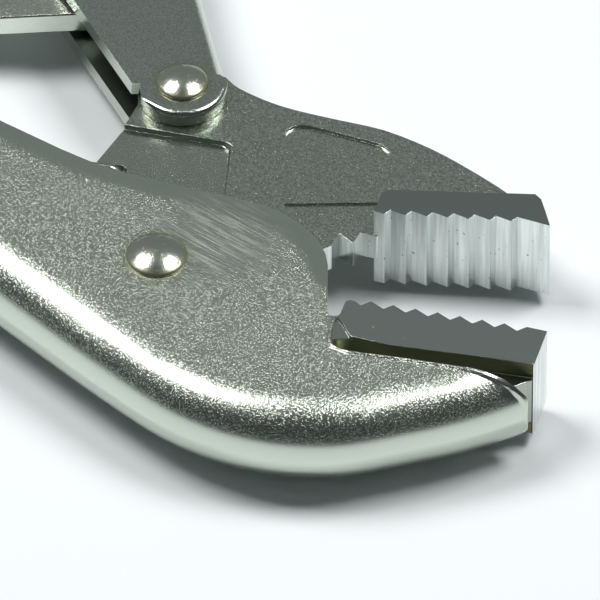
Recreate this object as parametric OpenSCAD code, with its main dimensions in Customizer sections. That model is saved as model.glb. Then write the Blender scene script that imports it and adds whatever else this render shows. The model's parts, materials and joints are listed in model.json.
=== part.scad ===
// Straight-jaw locking pliers, lying on one side with the jaws open.
// Every outline is drawn in the plane of the tool, measured from the main rivet's axis:
// the fixed handle runs along -X, the jaws open towards +X, and Z runs through the rivets.

/* [Fixed handle] */
// Thickness of the head, and of both toothed jaw blocks
head_t = 13; // [12.8:0.1:14]
// Sheet that the fixed handle is pressed from
sheet = 2.6; // [2.4:0.1:2.7]
// Outer radius of the fixed handle's bent edge
bend_r = 6.3; // [5:0.1:6.3]
// Distance of the adjusting screw's axis below the main rivet
screw_drop = 3; // [2.6:0.1:3.2]
// Length of the threaded barrel at the handle's rear end
barrel_len = 24; // [18:1:26]
// Outer radius of the threaded barrel
barrel_r = 6.2; // [5.8:0.1:6.3]

/* [Jaws] */
// Thickness of the movable jaw's plate
plate_t = 5; // [4.4:0.1:5]
// Thickness left under the spring end of the movable jaw
pocket_t = 3.2; // [2.8:0.1:3.6]
// Thickness of the throat behind the movable teeth
throat_t = 4.3; // [4:0.1:4.6]
// Radius of the boss that turns inside the head
boss_r = 9.5; // [8:0.5:10]
// Distance between neighbouring teeth of the fixed jaw
fixed_pitch = 3; // [2.9:0.05:3.05]
// Depth of the fixed jaw's teeth
fixed_depth = 1; // [0.6:0.05:1]
// Distance between neighbouring teeth of the movable jaw
moving_pitch = 2.8; // [2.7:0.05:2.85]
// Depth of the movable jaw's teeth
moving_depth = 0.85; // [0.6:0.05:0.9]

/* [Lever] */
// Outside width of the lever's channel
lever_t = 9.7; // [9.4:0.1:10.2]
// Sheet that the lever is pressed from
lever_sheet = 2.25; // [2:0.05:2.25]
// Outer radius of the lever's bent edge
lever_bend_r = 3; // [2.5:0.25:3.5]
// Radius of the lever's ears round their rivets
ear_r = 6.05; // [5.8:0.05:6.3]
// Thickness of the toggle link
link_t = 3.3; // [2.8:0.1:3.6]
// Thickness of the release lever
release_t = 2; // [1.6:0.1:2.4]

/* [Rivets] */
// Radius of the main rivet's shank
main_shank_r = 3; // [2.6:0.1:3.2]
// Radius of the main rivet's domed heads
main_head_r = 4.1; // [3.8:0.1:4.4]
// Height of the main rivet's domed heads
main_head_h = 1.7; // [1.4:0.1:2]
// Radius of the shanks of the lever's two working rivets
small_shank_r = 2.5; // [2:0.1:2.7]
// Radius of the domed heads of the lever's two working rivets
small_head_r = 3.4; // [3.1:0.1:3.6]
// Radius of the release lever's rivet
release_shank_r = 1.75; // [1.5:0.05:1.9]
// Radius of the heads of the release lever's rivet
release_head_r = 2.6; // [2.4:0.1:2.8]
// Gap between a shank and the hole that turns on it
running_gap = 0.05; // [0.03:0.01:0.08]

/* [Screw] */
// Outside radius of the adjusting screw's thread
screw_r = 3.6; // [3.3:0.1:3.6]
// Radius of the plain nose that bears on the toggle link
nose_r = 3; // [2.6:0.1:3.2]
// Radius of the knurled knob
knob_r = 8; // [7:0.5:8]
// Length of the knurled knob
knob_len = 14; // [12:1:16]

/* [Hidden] */
$fn = 64;
// Place of the main rivet's axis: the origin lies under the middle of the open pliers
rivet_place = [69.93, -63.3, head_t / 2 + main_head_h];

// Places of the other pivots, with the jaws open
lever_pivot = [-18.1, 29.4];
lever_angle = 132;
knee_angle = 20.5;
knee_arm = 28;
link_angle = 221;
link_len = 68.6;
release_pivot = [62, 4.2];
spring_hole = [-16.8, 13.4];
spring_tab = [-58, -6.1];

half_head = head_t / 2;
half_gap = half_head - sheet;
half_plate = plate_t / 2;
half_lever = lever_t / 2;
half_lever_gap = half_lever - lever_sheet;
knee = polar(knee_arm, knee_angle);
barrel_front = -148;
barrel_rear = barrel_front - barrel_len;
through = 40;

// Point at radius r and angle a
function polar(r, a) = [r * cos(a), r * sin(a)];
// Arc about c from angle a0 to angle a1
function arc(c, r, a0, a1, n = 8) = [for (i = [0:n]) c + polar(r, a0 + (a1 - a0) * i / n)];
// Point at t from 0 to 1 between b and c on the curve through a, b, c and d
function between(a, b, c, d, t) =
    0.5 * (2 * b + (c - a) * t + (2 * a - 5 * b + 4 * c - d) * t * t + (3 * b - a - 3 * c + d) * t * t * t);
// Smooth curve through the points p, with n steps between neighbours
function smooth(p, n = 4) = let (last = len(p) - 1) concat(
    [for (i = [0:last - 1], k = [0:n - 1])
        between(p[max(i - 1, 0)], p[i], p[i + 1], p[min(i + 2, last)], k / n)],
    [p[last]]);
// Direction pointing into the sheet, left of the path at its point i
function inward(path, i) =
    let (d = path[min(i + 1, len(path) - 1)] - path[max(i - 1, 0)]) [-d[1], d[0]] / norm(d);
// The path moved inwards by distance d
function inset(path, d) = [for (i = [0:len(path) - 1]) path[i] + d * inward(path, i)];
// Sawtooth from start along angle a: count teeth, each rising over `slow` of its pitch, then falling
function saw(start, a, pitch, depth, count, slow) = let (along = polar(1, a), into = polar(1, a + 90)) [
    for (i = [0:count - 1], k = [0, 1]) start + along * pitch * (i + k * slow) + into * depth * k];

// Plate of the given half thickness from `path` up to y = back, its border along the path bent over
// at radius r. Each ring of points follows the path, drawn in and lifted by the bend, and returns
// along the back.
module bent_plate(path, back, half, r, steps = 6) {
    n = len(path);
    count = 2 * n;
    tilts = concat([for (k = [steps:-1:0]) -90 * k / steps], [for (k = [0:steps]) 90 * k / steps]);
    top = len(tilts) - 1;
    points = [for (k = [0:top])
        let (z = (k <= steps ? -1 : 1) * (half - r) + r * sin(tilts[k]), drawn_in = r * (1 - cos(tilts[k])))
        each concat(
            [for (i = [0:n - 1]) concat(path[i] + inward(path, i) * drawn_in, z)],
            [for (i = [n - 1:-1:0]) [path[i][0], back, z]])];
    walls = [for (k = [0:top - 1], i = [0:count - 1])
        let (j = (i + 1) % count, low = k * count, high = low + count)
        each [[low + i, high + i, high + j], [low + i, high + j, low + j]]];
    caps = [for (i = [0:n - 2])
        let (near = [i, i + 1], far = [count - 2 - i, count - 1 - i], low = concat(near, far))
        each [low, [for (m = [3:-1:0]) top * count + low[m]]]];
    polyhedron(points, concat(caps, walls), convexity = 10);
}

module slab(half, outline) {
    linear_extrude(height = 2 * half, center = true, convexity = 8) polygon(outline);
}

// Cut that leaves a plate of half thickness `half` over the outline, on both faces
module thin_both(half, outline) {
    for (side = [-1, 1]) translate([0, 0, side * (half + through / 2)]) slab(through / 2, outline);
}

module bore(r, place = [0, 0]) {
    translate([place[0], place[1], -through / 2]) cylinder(h = through, r = r);
}

// Rivet with a plain shank and two domed heads, each on a low cylindrical rim
module rivet(shank_r, head_r, head_h, grip) {
    rim = 0.3;
    dome = head_h - rim;
    ball = (head_r * head_r + dome * dome) / (2 * dome);
    reach = asin(head_r / ball);
    head = [for (i = [0:12]) [0, grip / 2 + head_h - ball] + polar(ball, 90 - reach * i / 12)];
    foot = [for (i = [12:-1:0]) [head[i][0], -head[i][1]]];
    rotate_extrude() polygon(concat(head, [[head_r, grip / 2], [shank_r, grip / 2]],
        [[shank_r, -grip / 2], [head_r, -grip / 2]], foot));
}

// ---- Fixed handle and head ----

// Outer border of the fixed handle, from the barrel along the web to the nose
web_line = smooth([[-151, -11], [-134, -11.5], [-100, -11.8], [-60, -12.4], [-30, -14], [-14, -16.1],
    [4, -18.7], [17, -19.6], [28.4, -17.2], [37.8, -11.5], [45, -2.9], [50.5, 5.2], [56, 16]], 6);

// Slot between the front of the cheeks and the fixed jaw's first tooth
slot_floor = [24.9, 5.9];
slot_r = 0.9;
slot_foot = slot_floor + polar(slot_r, -30);
// Free edge of the cheeks, from the slot's floor back along the handle to the barrel
free_edge = concat(
    arc(slot_floor, slot_r, -30, -143, 5), [[19.1, 12.2]],
    smooth([[17.6, 13.7], [14.5, 15.4], [9.5, 16.4], [4, 15.6], [-6.7, 11.9], [-17.3, 8.9], [-31.7, 7.8]], 3),
    smooth([[-60, 7.4], [-100, 6.6], [-128, 5.4], [-140, 3], [-148, -screw_drop], [-156, -8]], 2));
// Lip of the cheeks below the groove that parts them from the fixed jaw's block
lip_line = [[53.6, 11.3], [45.4, 8.3], [36.8, 4.4], [30.9, 1.4], [29.6, 0.9], [28.4, 1], [27.4, 1.8],
    [26.3, 3.6]];
// Lower edge of the fixed jaw's block, above the groove
block_edge = [[51.6, 13.7], [44, 10], [34.5, 5.2], [29.3, 3.4]];
// Ground face across the tips of the jaw block and the nose of the shell
nose_top = [49.5, 19.8];
nose_angle = -69;

module beyond_nose() {
    translate(nose_top) rotate(nose_angle) translate([-20, 0, -through / 2]) cube([60, 30, through]);
}

module fixed_handle() {
    cheek_cut = concat([[70, 18]], lip_line, free_edge, [[-156, 60], [70, 60]]);
    color([0.62, 0.64, 0.6]) difference() {
        union() {
            difference() {
                bent_plate(web_line, 30, half_head, bend_r);
                slab(through / 2, cheek_cut);
                beyond_nose();
                slab(half_gap, concat(inset(web_line, sheet), [[70, 60], [-160, 60]]));
            }
            translate([barrel_rear, -screw_drop, 0]) rotate([0, 90, 0])
                cylinder(h = barrel_len, r = barrel_r);
            translate([spring_tab[0], spring_tab[1], 0]) difference() {
                translate([-2, -4.6, -0.8]) cube([4, 6.4, 1.6]);
                translate([0, 0, -2]) cylinder(h = 4, r = 0.8);
            }
        }
        bore(main_shank_r);
        translate([barrel_rear - 1, -screw_drop, 0]) rotate([0, 90, 0])
            cylinder(h = barrel_len + 5, r = screw_r + running_gap);
    }
}

// Crests of the fixed jaw: the first is rounded, the last runs out to a flat tip
fixed_line = 23.9;
second_crest = [27.65, 10.3];
fixed_count = 7;

module fixed_jaw() {
    steep = 0.37;
    first_valley = second_crest - polar(steep * fixed_pitch, fixed_line)
        - polar(fixed_depth, fixed_line + 90);
    teeth = saw(second_crest, fixed_line, fixed_pitch, -fixed_depth, fixed_count, 1 - steep);
    last_crest = second_crest + polar(fixed_pitch * fixed_count, fixed_line);
    wall = concat(arc(slot_floor, slot_r, -30, 37, 3), arc([26, 8], 1.05, 165, 75, 5), [first_valley]);
    tip = [last_crest, nose_top, nose_top + polar(7, nose_angle)];
    block = concat([[27.2, 4.7]], wall, teeth, tip, block_edge);
    // The forging's lower shoulder fills the gap between the ground block and the cheeks
    shoulder = [slot_foot, [28, 8], [31, 5], block_edge[3], [28.4, 2.5], [27.4, 1.8], [26.3, 3.6]];
    tongue = concat([slot_foot], arc(slot_floor, slot_r, -55, -143, 4),
        [[21.5, 3.5], [19, -4], [17, -12], [17, -22], [60, -22], [60, 18]], block_edge, [[27, 8]]);
    color([0.42, 0.44, 0.42]) difference() {
        union() {
            slab(half_head, block);
            slab(half_head - 0.4, shoulder);
            intersection() {
                slab(half_gap, tongue);
                slab(half_gap, concat(inset(web_line, sheet), [[60, 60], [-134, 60]]));
            }
        }
        beyond_nose();
    }
}

module main_pivot_rivet() {
    color("silver") rivet(main_shank_r, main_head_r, main_head_h, head_t);
}

// Tension spring between the movable jaw and the handle's lanced tab: coils and two long shanks
module return_spring() {
    run = spring_tab - spring_hole;
    color("gray") translate([spring_hole[0], spring_hole[1], 0]) rotate([0, 90, atan2(run[1], run[0])]) {
        translate([0, 0, 3.8]) cylinder(h = norm(run) - 6.4, r = 0.5);
        translate([0, 0, 12]) cylinder(h = norm(run) - 20, r = 2.5);
    }
}

// ---- Movable jaw ----

moving_line = 32.3;
moving_start = [19.3, 24.4];
moving_count = 7;
moving_tip = [38.1, 35.8];

module movable_jaw() {
    far_edge = smooth([[-15.5, 35.6], [-12.8, 35], [-7.9, 35.4], [-3.8, 36.4], [1.4, 38.2], [7.5, 40.3],
        [14.5, 41.2], [21.5, 41.1], [28, 40.5], [32.8, 39.2]], 3);
    throat_teeth = [[16.2, 23.2], [16.7, 21], [14.1, 21.4], [14.7, 18.9]];
    plate = concat(far_edge, [[34, 37], [19, 27], [18.4, 23.9]], throat_teeth,
        smooth([[12.3, 13.5], [9.6, 8], [8, 2]], 3), arc([0, 0], boss_r - 1.5, -10, -170, 6),
        smooth([[-8.4, 3], [-11.5, 7], [-15, 10.2]], 3), arc(spring_hole, 3.3, -60, -170, 5),
        [[-20.8, 19.1], [-21, 21.4]], arc(lever_pivot, ear_r - 0.15, 230, 95, 10));
    teeth = saw(moving_start, moving_line, moving_pitch, moving_depth, moving_count, 0.28);
    block = concat(teeth, [moving_tip, [35.9, 37.7], [34.2, 39.1], [33, 39.4]],
        arc([17.8, 27.5], 1.2, 125, 195, 4), [[17.9, 23.9]]);
    pocket = [[-30, 16.3], [-20.5, 20.5], [-8.3, 25.8], [-7.2, 25.6], [-2.4, 18], [1, 11], [-1, 7], [-8, 5],
        [-14, 0], [-30, 5]];
    throat = [[5.1, 21.2], [15.1, 29], [40, 30], [40, 4], [9, 4], [9, 14]];
    color([0.58, 0.6, 0.56]) difference() {
        union() {
            difference() {
                slab(half_plate, plate);
                thin_both(pocket_t / 2, pocket);
                thin_both(throat_t / 2, throat);
                translate([4.3, 33.8, half_plate - 0.45]) rotate(17) linear_extrude(height = 2)
                    polygon(concat(arc([4.8, 0], 2.7, -90, 90), arc([-4.8, 0], 2.7, 90, 270)));
            }
            slab(half_head, block);
            translate([0, 0, -half_gap + 0.1]) cylinder(h = 2 * half_gap - 0.2, r = boss_r);
        }
        bore(main_shank_r + running_gap);
        bore(small_shank_r, lever_pivot);
        bore(1.3, spring_hole);
    }
}

module lever_rivet() {
    color("silver") translate(lever_pivot)
        rivet(small_shank_r, small_head_r, 1.45, lever_t + 2 * running_gap);
}

// ---- Lever: drawn along its own grip, with its front rivet at the origin ----

module on_lever() {
    translate(lever_pivot) rotate(lever_angle) children();
}

// Border of the lever's web, from the front ear to the flared rear end
lever_web = smooth([[0.7, -6.01], [14, -4.5], [28, -3], [50, -2.2], [80, -2.4], [110, -4.2], [134, -8],
    [146, -12.5]], 6);

module lever() {
    knee_edge = arc(knee, ear_r + 0.4, 60, 90 + knee_angle, 5);
    front_arc = arc([0, 0], ear_r, 90 + knee_angle, 266, 12);
    grip_edge = smooth([[145, 1.5], [134, 6], [110, 9.8], [80, 11.4], [56, 12.2], [40, 14.4]], 4);
    beyond_edge = concat([[170, -6]], grip_edge, knee_edge, [front_arc[0], [-4, 40], [170, 40]]);
    jaw_room = concat(arc([0, 0], 12, 60, -90, 10), [[-20, -20], [-20, 12]]);
    color([0.6, 0.62, 0.58]) on_lever() difference() {
        union() {
            difference() {
                bent_plate(lever_web, 30, half_lever, lever_bend_r);
                slab(through / 2, beyond_edge);
            }
            slab(half_lever, concat(front_arc, [[1.1, -5.2], [1.6, 0], [1.6, 5.5]]));
        }
        slab(half_lever_gap, concat(inset(lever_web, lever_sheet), [[170, 40], [0, 40]]));
        slab(half_lever_gap, jaw_room);
        bore(small_shank_r + running_gap);
        bore(small_shank_r, knee);
        bore(release_shank_r, release_pivot);
    }
}

module link_rivet() {
    color("silver") on_lever() translate(knee) rivet(small_shank_r, small_head_r - 0.2, 1.4, lever_t);
}

module release_rivet() {
    color("silver") on_lever() translate(release_pivot) rivet(release_shank_r, release_head_r, 1.1, lever_t);
}

// Toggle link from the lever's knee to the nose of the adjusting screw, drawn along its own length
module toggle_link() {
    tail_r = 4;
    outline = concat(arc([0, 0], 5.6, -90, -180, 8), arc([0, 0], 8.7, 180, 90, 8),
        smooth([[20, 8.7], [32, 7.6], [46, 5.2], [link_len - 6, 4.3]], 4),
        arc([link_len, 0], tail_r, 80, -80, 10),
        smooth([[link_len - 8, -4.3], [46, -4.8], [20, -5.4]], 4));
    color([0.66, 0.68, 0.62]) on_lever() translate(knee) rotate(link_angle - lever_angle) difference() {
        slab(link_t / 2, outline);
        bore(small_shank_r + running_gap);
    }
}

// Release lever: a stamped arm inside the lever with a broad thumb tab at its rear end
module release_lever() {
    arm = concat(smooth([[38.5, 4.2], [48, 2], [62, 1], [90, 3.4], [116, 8], [130, 13], [140, 15]], 4),
        smooth([[139.5, 17.2], [128, 15.8], [114, 12.2], [90, 8], [62, 7.6], [48, 6.6], [39.5, 6.2]], 4));
    tab = concat(smooth([[130, 13.8], [136, 15.3], [143, 16], [150, 14.6]], 4),
        smooth([[150.5, 16.6], [143, 18], [136, 17.3], [129.4, 15.6]], 4));
    color([0.66, 0.68, 0.62]) on_lever() difference() {
        union() {
            slab(release_t / 2, arm);
            slab(half_lever - 0.4, tab);
        }
        bore(release_shank_r + running_gap, release_pivot);
    }
}

// ---- Adjusting screw, drawn along its axis from the nose back to the knob ----

nose_front = -103;
nose_len = 5;
knob_front = -178;

module on_screw(x) {
    translate([x, -screw_drop, 0]) rotate([0, -90, 0]) children();
}

module screw_nose() {
    color("silver") on_screw(nose_front) rotate_extrude()
        polygon([[0, 0], [nose_r - 0.8, 0], [nose_r, 0.8], [nose_r, nose_len], [0, nose_len]]);
}

module adjusting_screw() {
    shank_front = nose_front - nose_len;
    shank_len = shank_front - knob_front;
    collar_r = 5.6;
    color("silver") on_screw(shank_front) rotate_extrude() polygon([[0, 0], [screw_r - 0.7, 0],
        [screw_r, 0.7], [screw_r, shank_len - 2], [collar_r, shank_len - 2], [collar_r, shank_len],
        [knob_r - 0.8, shank_len], [knob_r, shank_len + 0.8], [knob_r, shank_len + knob_len - 1.2],
        [knob_r - 1.2, shank_len + knob_len], [0, shank_len + knob_len]]);
}

translate(rivet_place) {
    fixed_handle();
    fixed_jaw();
    main_pivot_rivet();
    return_spring();
    movable_jaw();
    lever_rivet();
    lever();
    link_rivet();
    release_rivet();
    toggle_link();
    release_lever();
    screw_nose();
    adjusting_screw();
}
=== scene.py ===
import bpy
import json
import math
from mathutils import Matrix, Vector


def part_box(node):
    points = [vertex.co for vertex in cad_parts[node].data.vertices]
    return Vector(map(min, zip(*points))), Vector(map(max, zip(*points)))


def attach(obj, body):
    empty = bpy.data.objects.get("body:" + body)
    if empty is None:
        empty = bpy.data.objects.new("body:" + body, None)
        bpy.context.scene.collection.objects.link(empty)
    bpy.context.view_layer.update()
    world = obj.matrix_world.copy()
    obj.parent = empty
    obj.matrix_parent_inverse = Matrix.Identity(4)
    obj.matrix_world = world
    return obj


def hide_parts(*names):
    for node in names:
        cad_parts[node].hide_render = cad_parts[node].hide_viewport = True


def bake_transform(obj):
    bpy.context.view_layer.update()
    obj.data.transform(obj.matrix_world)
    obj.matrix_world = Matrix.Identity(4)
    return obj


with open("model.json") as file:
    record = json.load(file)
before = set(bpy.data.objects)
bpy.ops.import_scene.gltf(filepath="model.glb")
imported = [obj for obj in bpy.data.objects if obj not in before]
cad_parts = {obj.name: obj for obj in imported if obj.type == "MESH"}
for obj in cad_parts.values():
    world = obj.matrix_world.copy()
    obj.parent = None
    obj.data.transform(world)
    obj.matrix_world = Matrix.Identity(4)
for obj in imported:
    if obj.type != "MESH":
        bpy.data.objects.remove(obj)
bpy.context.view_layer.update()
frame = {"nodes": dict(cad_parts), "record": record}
bpy.ops.object.select_all(action="DESELECT")
scene = bpy.context.scene
MM = 0.001

# Camera: a long lens looks down at 45 degrees on the head of the pliers. It stands beside the
# fixed handle, 37 degrees round towards the jaws' tips.
VIEW_TURN = 37
VIEW_HEIGHT = 45
VIEW_WIDTH = 79 * MM
LENS = 1200
SENSOR = 36


def middle_of(node):
    low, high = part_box(node)
    return (low + high) / 2


def direction(turn, height):
    """From the head outwards, `turn` degrees round from -Y towards +X and `height` degrees up."""
    turn = math.radians(turn)
    height = math.radians(height)
    return Vector((math.sin(turn) * math.cos(height), -math.cos(turn) * math.cos(height), math.sin(height)))


main_axis = middle_of("main_pivot_rivet")
look_at = main_axis + Vector((20.07, 4.8, 6.5)) * MM
backwards = direction(VIEW_TURN, VIEW_HEIGHT)
camera_data = bpy.data.cameras.new("camera")
camera = bpy.data.objects.new("camera", camera_data)
scene.collection.objects.link(camera)
scene.camera = camera
camera_data.lens = LENS
camera_data.sensor_width = SENSOR
camera.location = look_at + backwards * (VIEW_WIDTH * LENS / SENSOR)
camera.rotation_euler = backwards.to_track_quat("Z", "Y").to_euler()
camera_data.clip_start = 0.01
camera_data.clip_end = 50


# The table: a smooth white laminate with a very soft sheen, far wider than the tool that lies
# on it.
class Wire:
    """One value in a finish's nodes. Arithmetic on it adds Math nodes."""

    def __init__(self, finish, socket):
        self.finish = finish
        self.socket = socket

    def math(self, operation, first, second=0.0):
        return self.finish.node("ShaderNodeMath", {"operation": operation}, {0: first, 1: second})

    def __add__(self, other):
        return self.math("ADD", self, other)

    def __sub__(self, other):
        return self.math("SUBTRACT", self, other)

    def __rsub__(self, other):
        return self.math("SUBTRACT", other, self)

    def __mul__(self, other):
        return self.math("MULTIPLY", self, other)

    def __pow__(self, other):
        return self.math("POWER", self, other)

    def __abs__(self):
        return self.math("ABSOLUTE", self)

    __radd__ = __add__
    __rmul__ = __mul__

    def steps(self, low, high):
        """0 where the value is `low` and 1 where it is `high`, with a soft step between them."""
        return self.finish.node("ShaderNodeMapRange", {"interpolation_type": "SMOOTHSTEP"},
                                {"Value": self, "From Min": low, "From Max": high})


class Finish:
    """A material with one Principled shader, whose constants are set on its own sockets."""

    def __init__(self, name, **constants):
        self.material = bpy.data.materials.new(name)
        self.material.use_nodes = True
        self.tree = self.material.node_tree
        self.shader = self.tree.nodes["Principled BSDF"]
        for socket, value in constants.items():
            self.shader.inputs[socket.replace("_", " ")].default_value = value
        self.place = self.node("ShaderNodeTexCoord", {}, {}, "Object")

    def node(self, kind, settings, sockets, output=0):
        """Add a node with its settings and its sockets' values or wires, and give one output."""
        made = self.tree.nodes.new(kind)
        for name, value in settings.items():
            if name == "stops":
                ramp = made.color_ramp
                while len(ramp.elements) < len(value):
                    ramp.elements.new(0.5)
                for element, (position, colour) in zip(ramp.elements, value):
                    element.position = position
                    element.color = (*colour, 1)
            else:
                setattr(made, name, value)
        for name, value in sockets.items():
            if isinstance(value, Wire):
                self.tree.links.new(value.socket, made.inputs[name])
            else:
                made.inputs[name].default_value = value
        return Wire(self, made.outputs[output])

    def feed(self, socket, wire):
        self.tree.links.new(wire.socket, self.shader.inputs[socket])

    def grain(self, scale, detail=2.0, roughness=0.5, place=None):
        """Noise with about `scale` grains to the metre."""
        return self.node("ShaderNodeTexNoise", {}, {"Vector": place or self.place, "Scale": scale,
                         "Detail": detail, "Roughness": roughness}, "Fac")

    def streaks(self, scales, detail=2.0, roughness=0.6, turn=0):
        """Noise drawn out on the axes with a small scale, turned by `turn` degrees about Z."""
        place = self.node("ShaderNodeMapping", {}, {"Vector": self.place, "Scale": scales,
                                                    "Rotation": (0, 0, math.radians(turn))})
        return self.grain(1.0, detail, roughness, place)

    def along(self, axis):
        """The place's coordinate on one axis: 0, 1 or 2."""
        return self.node("ShaderNodeSeparateXYZ", {}, {"Vector": self.place}, axis)

    def facing(self, axis):
        """The surface normal's coordinate on one axis: 0, 1 or 2."""
        normal = self.node("ShaderNodeNewGeometry", {}, {}, "Normal")
        return self.node("ShaderNodeSeparateXYZ", {}, {"Vector": normal}, axis)

    def mix(self, amount, first, second):
        """Colour between first and second; each is a colour or a wire."""
        made = [colour if isinstance(colour, Wire) else (*colour, 1) for colour in (first, second)]
        return self.node("ShaderNodeMix", {"data_type": "RGBA"}, {0: amount, 6: made[0], 7: made[1]}, 2)

    def bump(self, height, distance, strength=1.0, normal=None):
        sockets = {"Height": height, "Distance": distance, "Strength": strength}
        if normal:
            sockets["Normal"] = normal
        return self.node("ShaderNodeBump", {}, sockets, "Normal")


TABLE_SIZE = 16
bpy.ops.mesh.primitive_plane_add(size=TABLE_SIZE, location=(0, 0, 0))
table = bpy.context.object
table.name = "table"
laminate = Finish("white_laminate", Base_Color=(0.82, 0.86, 0.89, 1), Roughness=0.5)
table.data.materials.append(laminate.material)

# Studio light: one softbox to the left of the head and one to the right, in a grey room that the
# polished parts reflect. The room is lighter on the far side of the tool.
LAMP_SIZE = 0.36
LAMP_REACH = 0.9
LAMP_COLOUR = (1, 0.99, 0.97)
NEAR_WALL = (0.05, 0.053, 0.056)
FAR_WALL = (0.2, 0.215, 0.22)


def softbox(name, turn, height, power):
    """A square lamp aimed at the head, `turn` degrees right of the camera and `height` degrees up."""
    data = bpy.data.lights.new(name, "AREA")
    data.shape = "RECTANGLE"
    data.size = LAMP_SIZE
    data.size_y = LAMP_SIZE
    data.energy = power
    data.color = LAMP_COLOUR
    lamp = bpy.data.objects.new(name, data)
    scene.collection.objects.link(lamp)
    outwards = direction(VIEW_TURN + turn, height)
    lamp.location = look_at + LAMP_REACH * outwards
    lamp.rotation_euler = outwards.to_track_quat("Z", "Y").to_euler()
    lamp.visible_camera = False


softbox("left_lamp", -116, 60, 5.4)
softbox("right_lamp", 106, 61, 5.1)

room = bpy.data.worlds.new("room")
scene.world = room
room.use_nodes = True
room_nodes = room.node_tree.nodes
gaze = room_nodes.new("ShaderNodeTexCoord")
towards_far_wall = room_nodes.new("ShaderNodeVectorMath")
towards_far_wall.operation = "DOT_PRODUCT"
towards_far_wall.inputs[1].default_value = -direction(VIEW_TURN, 0)
share = room_nodes.new("ShaderNodeMath")
share.operation = "MULTIPLY_ADD"
share.inputs[1].default_value = 0.5
share.inputs[2].default_value = 0.5
wall_tone = room_nodes.new("ShaderNodeValToRGB")
wall_stops = ((0.35, NEAR_WALL), (0.75, FAR_WALL))
for element, (position, colour) in zip(wall_tone.color_ramp.elements, wall_stops):
    element.position = position
    element.color = (*colour, 1)
room_wires = room.node_tree.links
room_wires.new(gaze.outputs["Generated"], towards_far_wall.inputs[0])
room_wires.new(towards_far_wall.outputs["Value"], share.inputs[0])
room_wires.new(share.outputs[0], wall_tone.inputs["Fac"])
room_wires.new(wall_tone.outputs["Color"], room_nodes["Background"].inputs["Color"])
scene.view_settings.view_transform = "Standard"

# Fixed handle: one channel pressed from sheet, with the head at its front and a threaded barrel
# rolled at its rear. It is tumbled with shot and nickel plated, which leaves a fine grain; its sparkle
# is painted into the colour as glints and specks of shade. The cheeks' free edge is linished smooth and its
# corner is eased.
WELD = 0.001 * MM
# Angles in degrees: below the first, neighbouring facets are one face; above the second, an edge
# is sharp and is rounded; below the third, it is shaded smooth.
FLAT, SHARP, SMOOTH = 0.4, 35, 30
LEVEL_SLACK = 0.02


def body_of(node):
    bodies = frame["record"]["behaviour"]["bodies"]
    return next(body for body, members in bodies.items() if node in members)


def size_of(node):
    """The node's length, width and height in millimetres."""
    low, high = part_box(node)
    return [round(side, 3) for side in (high - low) / MM]


def only(piece):
    """Select one piece and nothing else."""
    bpy.ops.object.select_all(action="DESELECT")
    piece.select_set(True)
    bpy.context.view_layer.objects.active = piece


def finished(piece, node, finish):
    """The piece stands for the node: it takes its body and the finish."""
    only(piece)
    bpy.ops.object.shade_smooth_by_angle(angle=math.radians(SMOOTH))
    piece.data.materials.clear()
    piece.data.materials.append(finish.material)
    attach(piece, body_of(node))


def near_line(point, line, reach):
    """Whether a point lies within `reach` millimetres of a line drawn from the main rivet's axis."""
    place = (point - main_axis).xy / MM
    for start, end in zip(line, line[1:]):
        start, end = Vector(start), Vector(end)
        run = end - start
        share = min(max((place - start).dot(run) / run.length_squared, 0), 1)
        if (start + run * share - place).length < reach:
            return True
    return False


def select_line(piece, line, heights, reach):
    """In edit mode, select the edges near `line` that lie at one of the heights off the middle."""
    bpy.ops.mesh.select_all(action="DESELECT")
    bpy.ops.object.mode_set(mode="OBJECT")
    points = piece.data.vertices
    for side in piece.data.edges:
        ends = [points[i].co for i in side.vertices]
        off = [abs(end.z - main_axis.z) / MM for end in ends]
        level = any(max(abs(place - height) for place in off) < LEVEL_SLACK for height in heights)
        side.select = level and all(near_line(end, line, reach) for end in ends)
    bpy.ops.object.mode_set(mode="EDIT")
    bpy.ops.mesh.select_mode(type="EDGE")


def eased(node, finish, edge, line=None, heights=(), line_edge=0, reach=0.3):
    """A copy of the node's shape whose sharp edges are rounded by `edge` millimetres at most. The
    edges that follow `line` at the `heights` off the middle plane are rounded by `line_edge`."""
    piece = bpy.data.objects.new(node + "_eased", frame["nodes"][node].data.copy())
    scene.collection.objects.link(piece)
    only(piece)
    bpy.ops.object.mode_set(mode="EDIT")
    bpy.ops.mesh.select_all(action="SELECT")
    bpy.ops.mesh.remove_doubles(threshold=WELD)
    bpy.ops.mesh.dissolve_limited(angle_limit=math.radians(FLAT))
    if line:
        select_line(piece, line, heights, reach)
        bpy.ops.mesh.bevel(offset=line_edge * MM, segments=4, affect="EDGES", clamp_overlap=False)
    bpy.ops.object.mode_set(mode="OBJECT")
    rounding = piece.modifiers.new("rounding", "BEVEL")
    rounding.width = edge * MM
    rounding.segments = 3
    rounding.limit_method = "ANGLE"
    rounding.angle_limit = math.radians(SHARP)
    rounding.miter_outer = "MITER_ARC"
    bpy.ops.object.modifier_apply(modifier="rounding")
    finished(piece, node, finish)
    normals = piece.modifiers.new("normals", "WEIGHTED_NORMAL")
    normals.keep_sharp = True
    bpy.ops.object.modifier_apply(modifier="normals")
    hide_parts(node)


def away(finish, centre):
    """Distance in the plane of the tool from an upright axis through `centre`."""
    east = finish.along(0) - centre.x
    north = finish.along(1) - centre.y
    return (east * east + north * north) ** 0.5


def near_rivet(finish, centre, radius):
    """Mask of the dull ring where plating salts collect round a rivet's head. Round the lever rivet on the
    movable jaw's plate, the ring is painted shade under the lever's ear.
    """
    cloud = finish.grain(900, 3.0)
    return (away(finish, centre) + cloud * (1.6 * MM)).steps((radius + 2.6) * MM, (radius + 0.7) * MM)


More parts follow.
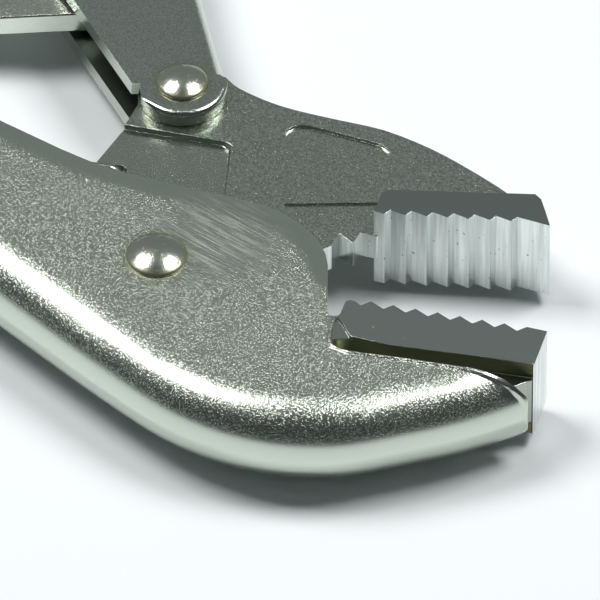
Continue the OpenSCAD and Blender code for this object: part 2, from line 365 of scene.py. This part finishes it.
def below(finish, line):
    """How far a place lies below a line of (x, y) places in millimetres from the main rivet's
    axis. The line's height is held in a ramp, as a share of LINE_TOP."""
    start, end = line[0][0], line[-1][0]
    stops = [((x - start) / (end - start), (y / LINE_TOP,) * 3) for x, y in line]
    share = (finish.along(0) - (main_axis.x + start * MM)) * (1 / (end - start) / MM)
    height = finish.node("ShaderNodeValToRGB", {"stops": stops}, {"Fac": share})
    return height * (LINE_TOP * MM) - (finish.along(1) - main_axis.y)


def speckled(finish, colour, amount, grit, mask=None, under=None):
    """Shot-blasted nickel: a fine pitted grain, with painted glints and painted specks of shade as
    bright and dark points in the colour, both fading on upright walls, which the table lights evenly. Gives
    the colour and the normal."""
    upward = finish.facing(2)
    open_side = (upward * upward).steps(0.05, 0.4)
    if mask:
        open_side = open_side * mask
    # Painted glints and specks of shade: bright and dark points in the colour, on the sides that face up.
    points = finish.grain(5000, 2.0, 0.75).steps(0.36, 0.64)
    dark = finish.mix(open_side * (1 - points) * amount, colour, PAINTED_SPECK_SHADE)
    light = finish.mix(open_side * points * amount * 0.6, dark, PAINTED_GLINT)
    pits = finish.grain(4200, 2.5, 0.6).steps(0.49, 0.7)
    return light, finish.bump(pits, grit * MM, open_side * 0.92 + 0.08, under)


OLIVE = (0.46, 0.45, 0.27)
PAINTED_SPECK_SHADE = (0.2, 0.23, 0.19)
PAINTED_GLINT = (0.95, 1.0, 0.92)
SHELL_COLOUR = (0.62, 0.68, 0.60)
SHELL_RUBBED = (0.8, 0.84, 0.78)
SHELL_GRIT = 0.019
LINE_TOP = 20
# The cheeks' free edge along the handle and the head
FREE_EDGE = ((-60, 7.4), (-31.7, 7.8), (-17.3, 8.9), (-6.7, 11.9), (-1, 14), (4, 15.6), (9.5, 16.4),
             (14.5, 15.4), (20, 11.6))
BAND_WIDTH, BAND_FADE = 1.6, 3
# The lip below the fixed jaw, with the bead pressed along it
LIP = ((25, 4.5), (26.3, 3.4), (27.4, 1.8), (28.4, 1.0), (30.9, 1.4), (36.8, 4.4), (45.4, 8.3),
       (53.6, 11.3))
BEAD_HEIGHT = 0.3
# The patch on the head that was linished
RUBBED_PLACE = (4.5, 7.5)
RUBBED_CORE, RUBBED_REACH = 3, 12
RUBBED_TURN = 12

shell = Finish("blasted_nickel", Metallic=1.0)
ragged = shell.grain(700) * (0.8 * MM)
blasted = (below(shell, FREE_EDGE) + ragged).steps(BAND_WIDTH * MM, (BAND_WIDTH + BAND_FADE) * MM)
brushing = shell.streaks((150, 5200, 600), turn=RUBBED_TURN)
rubbed_centre = main_axis + Vector((*RUBBED_PLACE, 0)) * MM
rubbed = away(shell, rubbed_centre).steps(RUBBED_REACH * MM, RUBBED_CORE * MM)
brushed = rubbed * brushing.steps(0.46, 0.64)
at_lip = (shell.along(0) - main_axis.x).steps(LIP[0][0] * MM, (LIP[0][0] + 1.5) * MM)
bead = below(shell, LIP).steps(1.0 * MM, 0.35 * MM) * at_lip
stain_and_shade = near_rivet(shell, main_axis, size_of("main_pivot_rivet")[0] / 2)
colour = shell.mix(stain_and_shade * 0.55, SHELL_COLOUR, OLIVE)
colour = shell.mix(brushed * 0.4, colour, SHELL_RUBBED)
pressed = shell.bump(bead, BEAD_HEIGHT * MM)
scored = shell.bump(brushing, 0.012 * MM, rubbed, pressed)
colour, normal = speckled(shell, colour, 0.42, SHELL_GRIT, blasted * (1 - rubbed * 0.55), scored)
shell.feed("Base Color", colour)
shell.feed("Roughness", 0.2 + blasted * 0.05 + brushed * 0.14)
shell.feed("Normal", normal)
eased("fixed_handle", shell, 0.5, LIP[1:], (size_of("fixed_handle")[2] / 2,), 0.35, 0.5)

# Fixed jaw: a small forging pressed into the head. Its block is ground flat on both sides and
# across the tip, its teeth are milled, and the thin nickel shows the grinder's long scratches.
GROUND_COLOUR = (0.55, 0.60, 0.55)
SCRATCH_COLOUR = (0.8, 0.84, 0.8)
GROOVE_SHADE_COLOUR = (0.2, 0.2, 0.12)
GRINDING = (160, 9000, 500)
FIXED_JAW_TURN = -24


def milled_walls(finish):
    """Mask of the walls that stand upright on the table: the toothed faces and the ground tips."""
    upward = finish.facing(2)
    return (upward * upward).steps(0.2, 0.05)


def milled_colour(finish, colour, walls):
    """The cutter's marks run across the teeth, with a few dark pits left by the forging."""
    marks = finish.streaks((1500, 1500, 60), 3.0, 0.65)
    pocks = finish.grain(1500).steps(0.71, 0.75)
    milled = finish.mix(marks.steps(0.35, 0.68), (0.6, 0.64, 0.62), (0.82, 0.86, 0.84))
    return finish.mix(walls, colour, finish.mix(pocks * 0.85, milled, (0.1, 0.11, 0.1)))


def ground_steel(name, turn):
    """Ground flats: smooth and dark, with a few fine scratches along the block. The wall that
    faces the shell's lip is painted with olive shade, for the narrow groove between it and the lip."""
    finish = Finish(name, Metallic=1.0)
    scratches = finish.streaks(GRINDING, 3.0, 0.7, turn).steps(0.66, 0.76)
    specks = finish.grain(2600).steps(0.66, 0.74)
    walls = milled_walls(finish)
    flat = finish.mix(scratches * 0.16 + specks * 0.2, GROUND_COLOUR, SCRATCH_COLOUR)
    # Painted shade: the block's wall that faces the lip is darkened olive, where the groove between them is
    # in shade.
    groove_shade = walls * finish.facing(1).steps(-0.3, -0.6)
    finish.feed("Base Color", finish.mix(groove_shade, milled_colour(finish, flat, walls), GROOVE_SHADE_COLOUR))
    finish.feed("Roughness", 0.17 + scratches * 0.1 + walls * 0.12)
    fine = finish.bump(finish.grain(7000), 0.008 * MM)
    finish.feed("Normal", finish.bump(scratches, 0.006 * MM, 0.6, fine))
    return finish


eased("fixed_jaw", ground_steel("ground_steel", FIXED_JAW_TURN), 0.14)

# Main rivet: a steel pin through the head, with a domed head at each end. It was set by a press
# that left the domes bright and faintly dimpled.
POLISHED_COLOUR = (0.60, 0.64, 0.55)
RIM_WIDTH = 1.1


def set_rivet(node):
    """One rivet in bright nickel, olive at the rim of its heads, where plating salts stayed."""
    finish = Finish(node + "_nickel", Metallic=1.0)
    radius = max(size_of(node)[:2]) / 2
    rim = away(finish, middle_of(node)).steps((radius - RIM_WIDTH) * MM, radius * MM)
    scuffs = finish.grain(1400, 3.0).steps(0.58, 0.7)
    finish.feed("Base Color", finish.mix(rim * 0.6, POLISHED_COLOUR, OLIVE))
    finish.feed("Roughness", 0.19 + scuffs * 0.1 + rim * 0.1)
    finish.feed("Normal", finish.bump(finish.grain(3000, 2.5), 0.012 * MM))
    eased(node, finish, 0.12)


set_rivet("main_pivot_rivet")

# Movable jaw: a forging with a thin plate that turns inside the head, a boss on the main rivet
# and a ground block of teeth. The plate keeps the blasted grain, the block is ground smooth.
PLATE_COLOUR = (0.53, 0.59, 0.52)
BLOCK_COLOUR = (0.43, 0.48, 0.44)
BLOCK_SCRATCH = (0.75, 0.8, 0.76)
BLOCK_FROM = 4.0
TEETH_START = (19.3, 24.4)
TEETH_TURN = math.radians(32.3)
MOVABLE_JAW_TURN = -32
EAR_SHADE_RADIUS = 6.0
# The step from the plate down to its thinner spring end, and half the thickness of each
POCKET_STEP = ((-20.5, 20.5), (-8.3, 25.8), (-7.2, 25.6), (-2.4, 18), (1, 11))
HALF_SPRING_END, HALF_PLATE = 1.6, 2.5

lever_axis = middle_of("lever_rivet")
plate_nickel = Finish("forged_nickel", Metallic=1.0)
past_start = plate_nickel.along(0) - (main_axis.x + TEETH_START[0] * MM)
over_start = plate_nickel.along(1) - (main_axis.y + TEETH_START[1] * MM)
behind_teeth = over_start * math.cos(TEETH_TURN) - past_start * math.sin(TEETH_TURN)
toothed = behind_teeth.steps(3.5 * MM, 2.5 * MM) * past_start.steps(-6 * MM, -5 * MM)
at_tip = past_start.steps(16 * MM, 17 * MM)
walls = milled_walls(plate_nickel) * (toothed + at_tip * (1 - toothed))
block = abs(plate_nickel.along(2) - main_axis.z).steps((BLOCK_FROM - 0.2) * MM, BLOCK_FROM * MM)
# Painted shade: an olive ring on the plate round the lever rivet, where the lever's ear covers it.
stain_and_shade = near_rivet(plate_nickel, lever_axis, EAR_SHADE_RADIUS)
scratches = plate_nickel.streaks(GRINDING, 3.0, 0.7, MOVABLE_JAW_TURN).steps(0.62, 0.74)
colour = plate_nickel.mix(stain_and_shade * 0.4, PLATE_COLOUR, OLIVE)
colour = plate_nickel.mix(block, colour, BLOCK_COLOUR)
colour = plate_nickel.mix(block * scratches * 0.15, colour, BLOCK_SCRATCH)
colour, normal = speckled(plate_nickel, colour, 0.5, 0.011, 1 - block)
plate_nickel.feed("Base Color", milled_colour(plate_nickel, colour, walls))
plate_nickel.feed("Roughness", 0.21 - block * 0.04 + walls * 0.12)
plate_nickel.feed("Normal", normal)
eased("movable_jaw", plate_nickel, 0.17, POCKET_STEP, (HALF_SPRING_END, HALF_PLATE), 0.3)

# Lever rivet: the steel pin that joins the movable jaw and the lever's two ears. It is held fast
# in the jaw, and the ears turn on it.
set_rivet("lever_rivet")

# Lever: the moving grip, a narrower channel pressed from sheet and carried on the movable jaw.
# Its flats are almost smooth, and its ears round the rivets have broad soft rims.
LEVER_COLOUR = (0.55, 0.60, 0.54)
EAR_RADIUS = 6.05
EAR_FROM, EAR_TO, EAR_STEP = -114, 30, 6

lever_nickel = Finish("satin_nickel", Metallic=1.0)
stain_and_shade = near_rivet(lever_nickel, lever_axis, size_of("lever_rivet")[0] / 2)
stained = lever_nickel.mix(stain_and_shade * 0.5, LEVER_COLOUR, OLIVE)
colour, normal = speckled(lever_nickel, stained, 0.4, 0.008)
lever_nickel.feed("Base Color", colour)
lever_nickel.feed("Roughness", 0.19 + lever_nickel.grain(500) * 0.03)
lever_nickel.feed("Normal", normal)
ear_rim = []
for degrees in range(EAR_FROM, EAR_TO, EAR_STEP):
    outwards = Vector((math.cos(math.radians(degrees)), math.sin(math.radians(degrees))))
    ear_rim.append(tuple((lever_axis - main_axis).xy / MM + outwards * EAR_RADIUS))
eased("lever", lever_nickel, 0.5, ear_rim, (size_of("lever")[2] / 2,), 0.8)

# Link and release rivets: two smaller pins through the lever's walls, on which the toggle link
# and the release lever turn. They are set and plated like the others.
set_rivet("link_rivet")
set_rivet("release_rivet")

# Toggle link and release lever: two stampings from flat sheet, tumbled and plated. The link
# carries the lever's push to the screw's nose, and the release lever prises it over centre.
STAMPING_TURN = 41

stamping = Finish("stamped_nickel", Metallic=1.0)
rolled = stamping.streaks((300, 2600, 2600), turn=STAMPING_TURN)
colour = stamping.mix(rolled.steps(0.45, 0.7) * 0.3, (0.66, 0.71, 0.63), (0.78, 0.8, 0.72))
colour, normal = speckled(stamping, colour, 0.4, 0.012)
stamping.feed("Base Color", colour)
stamping.feed("Roughness", 0.22 + rolled * 0.06)
stamping.feed("Normal", normal)
eased("toggle_link", stamping, 0.3)
eased("release_lever", stamping, 0.3)

# Return spring: close-wound spring wire that pulls the jaws open, with a hook at each end. The
# front hook passes through the movable jaw's hole and the rear one through the handle's tab.
WIRE = 0.45
WIRE_SIDES = 10
COIL_RADIUS = 2.05
COIL_FROM, COIL_TO = 12, 37.6
COIL_GAP = 0.04
LEG_IN_COIL = 1
HOOK_TIP = 2.2
HOOK_BACK = 3
HOOK_NECK = 0.8
SPRING_HOLE = main_axis + Vector((-16.8, 13.4, 0)) * MM
SPRING_TAB = main_axis + Vector((-58, -6.1, 0)) * MM
SPRING_LENGTH = (SPRING_TAB - SPRING_HOLE).length

wire_steel = Finish("spring_wire", Metallic=1.0, Roughness=0.24)
drawn = wire_steel.grain(1200, 3.0).steps(0.35, 0.7)
wire_steel.feed("Base Color", wire_steel.mix(drawn, (0.5, 0.5, 0.47), (0.62, 0.63, 0.58)))
wire_steel.feed("Normal", wire_steel.bump(wire_steel.grain(6000), 0.01 * MM))


def wire_end(x, z):
    """Start a wire: a ring of the wire's section, in edit mode, facing along Z."""
    bpy.ops.object.select_all(action="DESELECT")
    bpy.ops.mesh.primitive_circle_add(vertices=WIRE_SIDES, radius=WIRE * MM, location=(x * MM, 0, z * MM))
    bpy.ops.object.transform_apply(location=True, rotation=False, scale=False)
    bpy.ops.object.mode_set(mode="EDIT")
    bpy.ops.mesh.select_all(action="SELECT")


def straight(length):
    bpy.ops.mesh.extrude_region_move(TRANSFORM_OT_translate={"value": (0, 0, length * MM)})


def bend(z, degrees, steps):
    """Carry the wire on round the spring's axis at height z, in the upright plane it lies in."""
    bpy.ops.mesh.spin(steps=steps, angle=math.radians(degrees), center=(0, 0, z * MM), axis=(0, 1, 0))


def closed(name):
    """Cap the open ends and leave edit mode."""
    bpy.ops.mesh.select_all(action="SELECT")
    bpy.ops.mesh.remove_doubles(threshold=WELD)
    bpy.ops.mesh.fill_holes(sides=0)
    bpy.ops.mesh.normals_make_consistent(inside=False)
    bpy.ops.object.mode_set(mode="OBJECT")
    piece = bpy.context.object
    piece.name = name
    return piece


def end_hook(name, radius, centre, leg_end):
    """A hook on the spring's axis: a free tip, half a turn through the hole, a straight back, and
    a neck that turns in to the axis and carries the leg up to `leg_end`, inside the coil."""
    neck = centre + HOOK_BACK + radius + HOOK_NECK
    wire_end(radius, centre + HOOK_TIP)
    straight(-HOOK_TIP)
    bend(centre, -180, 14)
    straight(HOOK_BACK)
    bend(centre + HOOK_BACK, -90, 7)
    bend(neck, 90, 5)
    straight(leg_end - neck)
    return closed(name)


front_hook = end_hook("front_hook", 2.1, 1.4, COIL_FROM + LEG_IN_COIL)
rear_hook = end_hook("rear_hook", 1.4, 1.3, SPRING_LENGTH / MM - COIL_TO + LEG_IN_COIL)
rear_hook.rotation_euler = (math.pi, 0, 0)
rear_hook.location = (0, 0, SPRING_LENGTH)

turns = round((COIL_TO - COIL_FROM) / (2 * WIRE + COIL_GAP))
bpy.ops.object.select_all(action="DESELECT")
bpy.ops.mesh.primitive_circle_add(vertices=WIRE_SIDES, radius=WIRE * MM, rotation=(math.pi / 2, 0, 0),
                                  location=(COIL_RADIUS * MM, 0, COIL_FROM * MM))
coil = bpy.context.object
bpy.ops.object.transform_apply(location=True, rotation=True, scale=True)
winding = coil.modifiers.new("winding", "SCREW")
winding.iterations = turns
winding.screw_offset = (COIL_TO - COIL_FROM) / turns * MM
winding.steps = 20
winding.render_steps = 20
bpy.ops.object.modifier_apply(modifier="winding")
bpy.ops.object.mode_set(mode="EDIT")
spring = closed("return_spring_coil")
for hook in (front_hook, rear_hook):
    hook.select_set(True)
bpy.ops.object.join()
run = (SPRING_TAB - SPRING_HOLE).normalized()
upright = Vector((0, 0, 1))
lying = Matrix((upright, run.cross(upright), run)).transposed().to_4x4()
spring.matrix_world = Matrix.Translation(SPRING_HOLE) @ lying
bpy.ops.object.transform_apply(location=True, rotation=True, scale=True)
only(spring)
bpy.ops.object.shade_smooth_by_angle(angle=math.radians(50))
spring.data.materials.append(wire_steel.material)
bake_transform(spring)
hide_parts("return_spring")

# Adjusting screw: its thread is rolled, its knob is knurled in diamonds for the fingers, and its
# plain nose bears on the toggle link. The screw is turned to suit the work's thickness.
GREASE_COLOUR = (0.4, 0.39, 0.33)
SCREW_COLOUR = (0.64, 0.67, 0.6)
PITCH = 1.25
THREAD_RADIUS = 3.6
THREAD_FROM = 2.4
THREAD_STEPS = 36
RIDGE = 0.62
RIDGE_ROOT = 0.02
SHANK_SIDES = 48
SHANK_CHAMFER = 0.4
SHANK_IN_COLLAR = 0.5
COLLAR_RADIUS, COLLAR_LENGTH = 5.6, 2
COLLAR_CHAMFER = 0.3
KNOB_LENGTH = 14
KNOB_RADIUS = size_of("adjusting_screw")[1] / 2
KNOB_FRONT, KNOB_REAR = 0.8, 1.2
KNURL_DEPTH = 0.42
KNURLS_ROUND = 60
KNURL_ROWS = 16
SHANK_LENGTH = size_of("adjusting_screw")[0] - KNOB_LENGTH
SCREW_FRONT = middle_of("adjusting_screw") + Vector((size_of("adjusting_screw")[0] / 2 * MM, 0, 0))
ALONG_SCREW = Matrix.Translation(SCREW_FRONT) @ Matrix.Rotation(-math.pi / 2, 4, "Y")

screw_steel = Finish("screw_steel", Metallic=1.0)
turned = screw_steel.streaks((9000, 300, 300))
grease = screw_steel.grain(420, 3.0).steps(0.5, 0.75)
screw_steel.feed("Base Color", screw_steel.mix(grease * 0.5, SCREW_COLOUR, GREASE_COLOUR))
screw_steel.feed("Roughness", 0.2 + turned * 0.08 + grease * 0.1)
screw_steel.feed("Normal", screw_steel.bump(turned, 0.01 * MM))
eased("screw_nose", screw_steel, 0.15)


def on_screw(piece):
    """Lay a piece made upright from the origin along the screw's axis."""
    only(piece)
    piece.matrix_world = ALONG_SCREW
    bpy.ops.object.transform_apply(location=True, rotation=True, scale=True)
    finished(piece, "adjusting_screw", screw_steel)


def turned_rings(radius, profile):
    """Extrude the selected ring, of this radius, through a profile of (rise, new radius) steps."""
    for rise, new_radius in profile:
        bpy.ops.mesh.extrude_region_move(TRANSFORM_OT_translate={"value": (0, 0, rise * MM)})
        grown = new_radius / radius
        bpy.ops.transform.resize(value=(grown, grown, 1), center_override=(0, 0, 0))
        radius = new_radius


# The thread's ridge is a hexagon carried round the core, so its crest is flat.
ridge_height = RIDGE * math.cos(math.radians(30))
bpy.ops.object.select_all(action="DESELECT")
bpy.ops.mesh.primitive_circle_add(vertices=6, radius=RIDGE * MM, rotation=(math.pi / 2, 0, 0),
                                  location=((THREAD_RADIUS - ridge_height) * MM, 0, THREAD_FROM * MM))
bpy.ops.object.transform_apply(location=True, rotation=True, scale=True)
ridge = bpy.context.object
rolling = ridge.modifiers.new("rolling", "SCREW")
rolling.iterations = int((SHANK_LENGTH - COLLAR_LENGTH - THREAD_FROM) / PITCH)
rolling.screw_offset = PITCH * MM
rolling.steps = THREAD_STEPS
rolling.render_steps = THREAD_STEPS
bpy.ops.object.modifier_apply(modifier="rolling")
bpy.ops.object.mode_set(mode="EDIT")
ridge = closed("ridge")

core = THREAD_RADIUS - ridge_height + RIDGE_ROOT
core_length = SHANK_LENGTH - SHANK_CHAMFER - COLLAR_LENGTH + SHANK_IN_COLLAR
bpy.ops.object.select_all(action="DESELECT")
bpy.ops.mesh.primitive_circle_add(vertices=SHANK_SIDES, radius=(core - SHANK_CHAMFER) * MM,
                                  location=(0, 0, 0))
bpy.ops.object.mode_set(mode="EDIT")
bpy.ops.mesh.select_all(action="SELECT")
turned_rings(core - SHANK_CHAMFER, ((SHANK_CHAMFER, core), (core_length, core)))
thread = closed("screw_thread")
ridge.select_set(True)
bpy.ops.object.join()
on_screw(thread)

# The knob is turned with a rim and a dished end at the rear, and a collar at the front.
valley = KNOB_RADIUS - KNURL_DEPTH
row = (KNOB_LENGTH - KNOB_FRONT - KNOB_REAR) / KNURL_ROWS
rear_face = ((KNOB_REAR, KNOB_RADIUS - 1.3), (0, KNOB_RADIUS - 2.8), (-0.6, KNOB_RADIUS - 3.2))
front_face = ((-KNOB_FRONT, KNOB_RADIUS - 1), (0, COLLAR_RADIUS),
              (COLLAR_CHAMFER - COLLAR_LENGTH, COLLAR_RADIUS),
              (-COLLAR_CHAMFER, COLLAR_RADIUS - COLLAR_CHAMFER))
bpy.ops.object.select_all(action="DESELECT")
bpy.ops.mesh.primitive_circle_add(vertices=2 * KNURLS_ROUND, radius=valley * MM, location=(0, 0, 0))
knob = bpy.context.object
bpy.ops.object.mode_set(mode="EDIT")
bpy.ops.mesh.select_mode(type="VERT")
bpy.ops.mesh.select_all(action="SELECT")
turned_rings(valley, [(row, valley)] * KNURL_ROWS)
turned_rings(valley, rear_face)
bpy.ops.mesh.edge_face_add()
bpy.ops.mesh.select_all(action="DESELECT")
bpy.ops.object.mode_set(mode="OBJECT")
for vertex in knob.data.vertices:
    vertex.select = abs(vertex.co.z) < 0.01 * MM
bpy.ops.object.mode_set(mode="EDIT")
turned_rings(valley, front_face)
bpy.ops.mesh.edge_face_add()
bpy.ops.mesh.select_all(action="DESELECT")
bpy.ops.object.mode_set(mode="OBJECT")

# The knurl: every second crossing of the rows and columns stands out as a diamond's point.
for vertex in knob.data.vertices:
    level = vertex.co.z / (row * MM)
    column = math.atan2(vertex.co.y, vertex.co.x) / math.pi * KNURLS_ROUND
    in_knurl = 0.5 < level < KNURL_ROWS - 0.5 and vertex.co.xy.length > (valley - 0.1) * MM
    vertex.select = in_knurl and (round(level) + round(column)) % 2 == 0
bpy.ops.object.mode_set(mode="EDIT")
raised = KNOB_RADIUS / valley
bpy.ops.transform.resize(value=(raised, raised, 1), center_override=(0, 0, 0))
bpy.ops.mesh.select_all(action="SELECT")
bpy.ops.mesh.quads_convert_to_tris(quad_method="SHORTEST_DIAGONAL", ngon_method="BEAUTY")
knob = closed("knurled_knob")
only(knob)
knob.data.transform(Matrix.Translation((0, 0, (SHANK_LENGTH + KNOB_FRONT) * MM)))
on_screw(knob)
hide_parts("adjusting_screw")
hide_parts("adjusting_screw")
